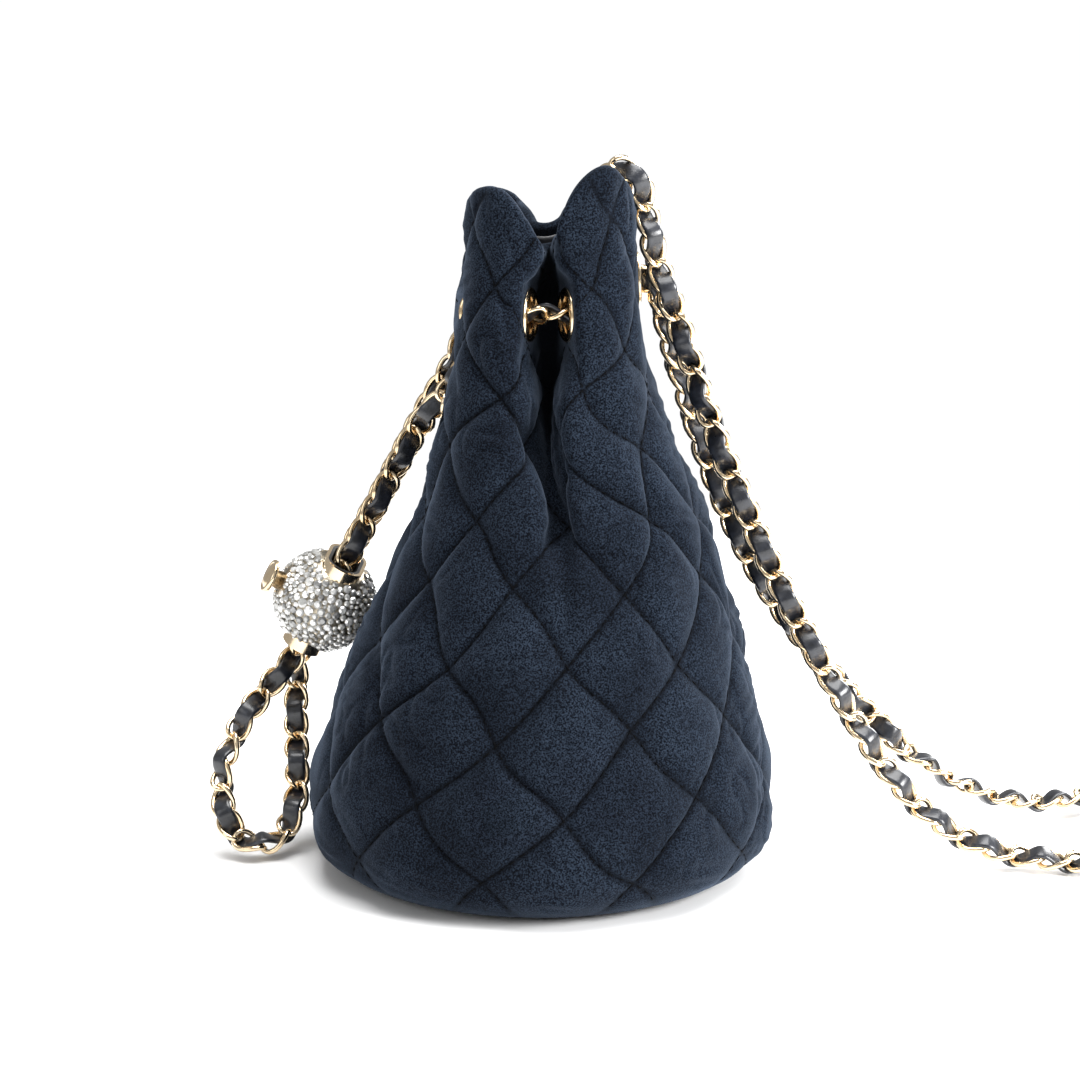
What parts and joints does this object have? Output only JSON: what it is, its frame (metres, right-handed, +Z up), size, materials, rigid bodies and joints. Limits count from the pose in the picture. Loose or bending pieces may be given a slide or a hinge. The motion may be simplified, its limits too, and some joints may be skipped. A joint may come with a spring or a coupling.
{
  "type": "bucket bag",
  "caption": "Small drawstring bucket bag of quilted velvet, cinched by a woven metal chain, with a crystal-set sliding ball and a shoulder chain.",
  "frame": {"origin": "middle of the base, on the surface the bag stands on", "axes": "+Z up, -Y towards the front with the open fold, +X towards the side the shoulder chain leaves from"},
  "size_m": [0.3176, 0.1196, 0.18],
  "materials": {
    "velvet": "dark blue-black cotton velvet, quilted in diamonds",
    "facing_leather": "smooth black leather facing inside the mouth",
    "lining_fabric": "black twill lining",
    "board": "plain stiff board",
    "gold_metal": "polished pale gold plating",
    "woven_chain": "black leather ribbon woven through pale gold curb links",
    "crystal": "clear faceted stones set close in pale metal",
    "grip_rubber": "matt black soft rubber"
  },
  "bodies": {
    "bag": {"base_board": "board", "base_panel": "velvet", "closure_chain": "woven_chain", "eyelet_back_left": "gold_metal", "eyelet_back_right": "gold_metal", "eyelet_front_left": "gold_metal", "eyelet_front_right": "gold_metal", "eyelet_left_back": "gold_metal", "eyelet_left_front": "gold_metal", "eyelet_right": "gold_metal", "inner_pocket": "lining_fabric", "lining": "lining_fabric", "lining_base": "lining_fabric", "mouth_chain_back": "woven_chain", "mouth_chain_front": "woven_chain", "quilted_shell": "velvet", "rim_facing": "facing_leather", "shoulder_chain_back": "woven_chain", "shoulder_chain_coil": "woven_chain", "shoulder_chain_front": "woven_chain", "washer_back_left": "gold_metal", "washer_back_right": "gold_metal", "washer_front_left": "gold_metal", "washer_front_right": "gold_metal", "washer_left_back": "gold_metal", "washer_left_front": "gold_metal", "washer_right": "gold_metal"},
    "closing_ball": {"ball_upper_shell": "gold_metal", "ball_lower_shell": "gold_metal", "ball_stone_setting": "crystal", "ball_emblem": "gold_metal", "ball_grip_sleeve": "grip_rubber", "ball_upper_collar": "gold_metal", "ball_lower_collar": "gold_metal"}
  },
  "joints": [
    {"name": "closing_ball_slide", "type": "slide", "parent": "bag", "child": "closing_ball", "axis": [0.4643, -0.1617, 0.8708], "range_m": [0, 0.008]}
  ]
}
